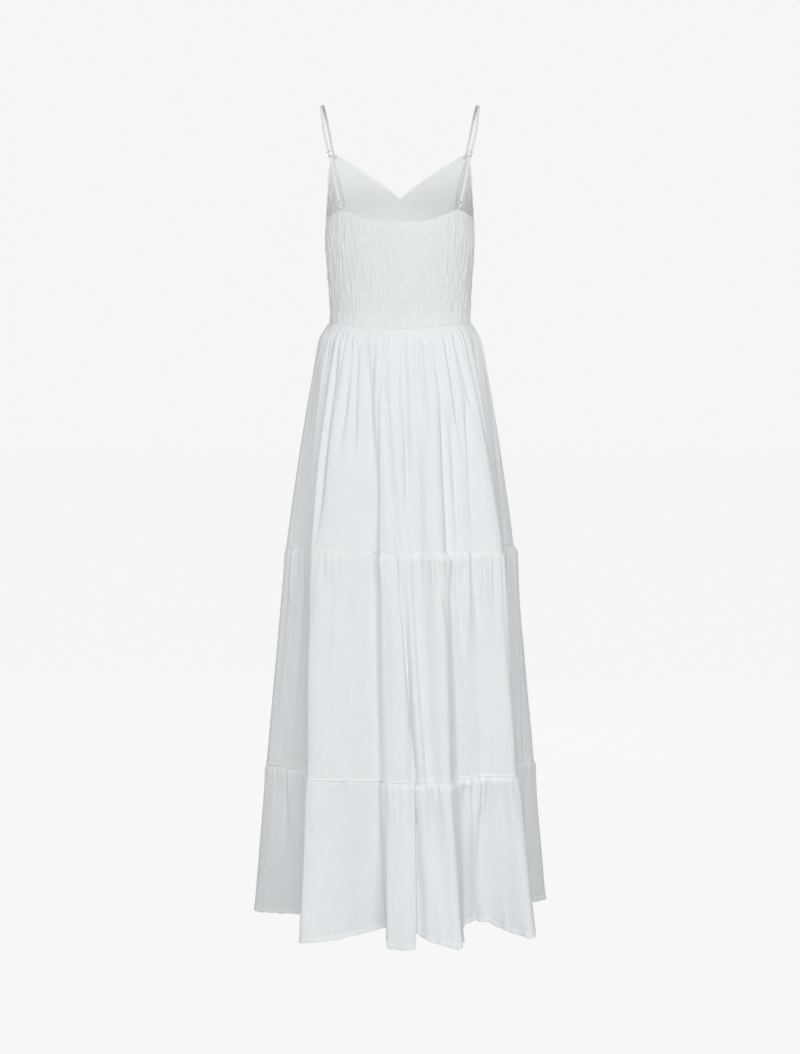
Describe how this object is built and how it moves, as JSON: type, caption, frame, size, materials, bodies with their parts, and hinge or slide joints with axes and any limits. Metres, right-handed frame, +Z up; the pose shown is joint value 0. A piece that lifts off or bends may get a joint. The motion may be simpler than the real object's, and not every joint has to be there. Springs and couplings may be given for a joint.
{
  "type": "maxi dress",
  "caption": "Long sleeveless dress with thin adjustable straps, V-neck front, shirred back and gathered tiered skirt, hollow as when worn.",
  "frame": {"origin": "midway between the undersides of the two straps where they pass over the shoulders", "axes": "+Z up along the dress from hem to shoulders, front towards -Y, the wearer's left towards +X"},
  "size_m": [0.5208, 0.5186, 1.418],
  "materials": {
    "bodice_cloth": "soft white plain weave, matt",
    "shirred_cloth": "soft white plain weave gathered on rows of elastic",
    "skirt_cloth": "soft white plain weave, matt",
    "strap_cloth": "white narrow turned strap",
    "strap_metal": "small pale polished metal fittings"
  },
  "bodies": {
    "root": {"bodice_front": "bodice_cloth", "bodice_back_shirred": "shirred_cloth", "skirt_upper_back": "skirt_cloth", "skirt_upper_front": "skirt_cloth", "skirt_middle_back": "skirt_cloth", "skirt_middle_front": "skirt_cloth", "skirt_lower_back": "skirt_cloth", "skirt_lower_front": "skirt_cloth", "strap_left": "strap_cloth", "strap_right": "strap_cloth", "strap_loop_left": "strap_cloth", "strap_loop_right": "strap_cloth", "ring_tab_left": "strap_cloth", "ring_tab_right": "strap_cloth", "slider_left": "strap_metal", "slider_right": "strap_metal", "ring_left": "strap_metal", "ring_right": "strap_metal"}
  },
  "joints": []
}
